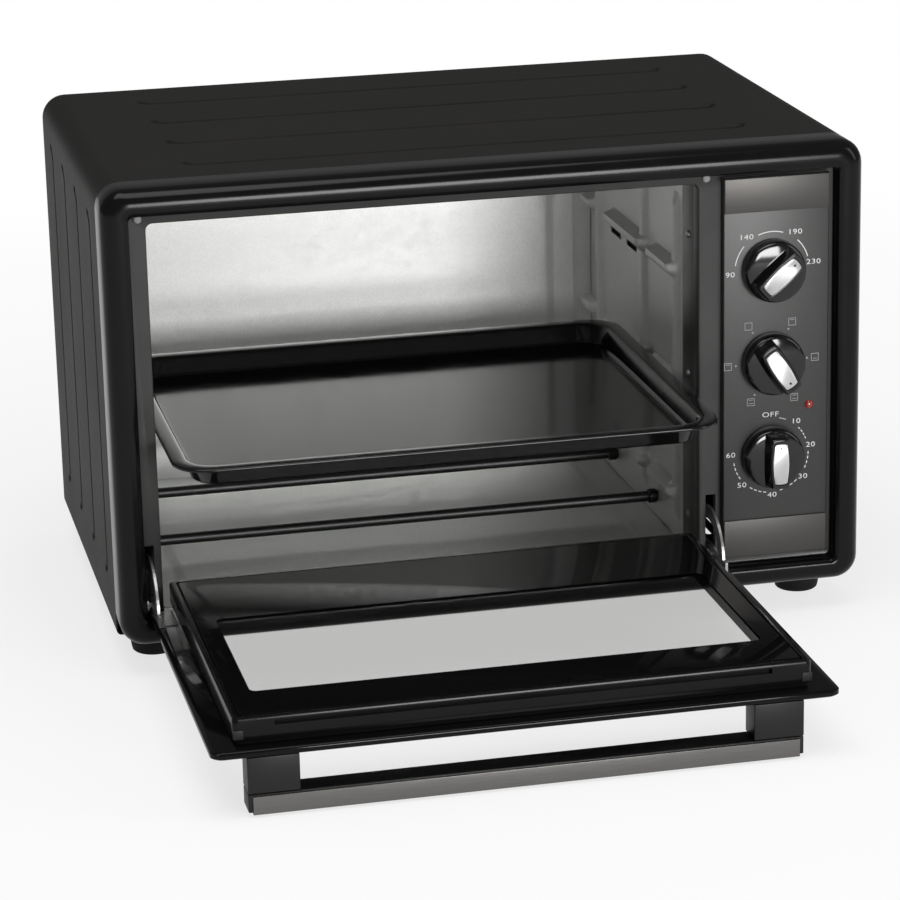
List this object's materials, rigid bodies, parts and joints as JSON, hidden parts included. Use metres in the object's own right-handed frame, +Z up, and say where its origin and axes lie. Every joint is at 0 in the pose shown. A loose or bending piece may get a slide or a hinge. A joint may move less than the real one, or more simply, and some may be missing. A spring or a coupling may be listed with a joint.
{
  "type": "toaster oven",
  "caption": "Countertop toaster oven with a drop-down glass door, handle, heated cavity with tray runners, baking tray and a side panel of turning knobs.",
  "frame": {"origin": "on the standing surface, under the middle of the box around the oven with its door open", "axes": "+Z up; -Y out of the front, towards the user; +X to the user's right, where the controls are"},
  "size_m": [0.44, 0.5034, 0.2835],
  "materials": {
    "wrap_paint": "matte black powder coat with a fine texture",
    "bezel_gloss": "semi-gloss black moulding",
    "galvanised_sheet": "galvanised sheet with a fine grain",
    "panel_plastic": "satin dark grey",
    "trim_metal": "grained dark metal",
    "knob_gloss": "gloss black",
    "satin_silver": "satin silver",
    "brushed_steel": "brushed along its length",
    "plain_steel": "plated",
    "moulding": "black moulding",
    "door_glass": "tempered glass with a black printed border",
    "element_steel": "heat-darkened tube",
    "rubber": "black rubber",
    "pale_rubber": "pale grey silicone",
    "red_lens": "clear red",
    "enamel": "gloss black enamel on steel",
    "switch_plastic": "heat-proof cream plastic"
  },
  "bodies": {
    "housing": {"outer_wrap": "wrap_paint", "rear_cover": "wrap_paint", "base_plate": "wrap_paint", "front_frame": "bezel_gloss", "cord_gland": "rubber", "foot_front_left": "rubber", "foot_front_right": "rubber", "foot_rear_left": "rubber", "foot_rear_right": "rubber", "rear_screw_1": "plain_steel", "rear_screw_2": "plain_steel", "rear_screw_3": "plain_steel", "rear_screw_4": "plain_steel", "cavity_roof": "galvanised_sheet", "cavity_floor": "galvanised_sheet", "cavity_back_wall": "galvanised_sheet", "cavity_left_wall": "galvanised_sheet", "cavity_right_wall": "galvanised_sheet", "lower_front_element": "element_steel", "upper_front_element": "element_steel", "lower_rear_element": "element_steel", "upper_rear_element": "element_steel", "hinge_bracket_left": "plain_steel", "hinge_bracket_right": "plain_steel", "hinge_pin_left": "plain_steel", "hinge_pin_right": "plain_steel", "hinge_spring_left": "plain_steel", "hinge_spring_right": "plain_steel", "control_panel": "panel_plastic", "upper_trim_plate": "trim_metal", "lower_trim_plate": "trim_metal", "control_bracket": "plain_steel", "thermostat": "switch_plastic", "function_switch": "switch_plastic", "timer": "plain_steel", "indicator_lens": "red_lens", "door_bumper_left": "pale_rubber", "door_bumper_right": "pale_rubber"},
    "door": {"door_outer_panel": "door_glass", "door_inner_frame": "moulding", "door_inner_pane": "door_glass", "hinge_arm_left": "plain_steel", "hinge_arm_right": "plain_steel", "handle_post_left": "moulding", "handle_post_right": "moulding", "handle_bar": "moulding", "handle_strip": "brushed_steel"},
    "tray": {"baking_tray": "enamel"},
    "temperature_dial": {"temperature_knob": "knob_gloss", "temperature_knob_insert": "satin_silver", "temperature_shaft": "plain_steel"},
    "function_dial": {"function_knob": "knob_gloss", "function_knob_insert": "satin_silver", "function_shaft": "plain_steel"},
    "timer_dial": {"timer_knob": "knob_gloss", "timer_knob_insert": "satin_silver", "timer_shaft": "plain_steel"}
  },
  "joints": [
    {"name": "door_hinge", "type": "hinge", "parent": "housing", "child": "door", "pos_m": [-0.03505, -0.02425, 0.039], "axis": [-1, 0, 0], "range_deg": [0, 90], "deforming": ["hinge_spring_left", "hinge_spring_right"]},
    {"name": "tray_slide", "type": "slide", "parent": "housing", "child": "tray", "axis": [0, 1, 0], "range_m": [0, 0.08]},
    {"name": "temperature_turn", "type": "hinge", "parent": "housing", "child": "temperature_dial", "pos_m": [0.16605, -0.02425, 0.21], "axis": [0, 1, 0], "range_deg": [-142, 34]},
    {"name": "function_turn", "type": "hinge", "parent": "housing", "child": "function_dial", "pos_m": [0.16605, -0.02425, 0.1545], "axis": [0, 1, 0], "range_deg": [-180, 120]},
    {"name": "timer_turn", "type": "hinge", "parent": "housing", "child": "timer_dial", "pos_m": [0.16605, -0.02425, 0.098], "axis": [0, 1, 0], "range_deg": [0, 270]}
  ],
  "couplings": [
    {"joint": "tray_slide", "follows": "door_hinge", "m_per_rad": 0.0509}
  ]
}
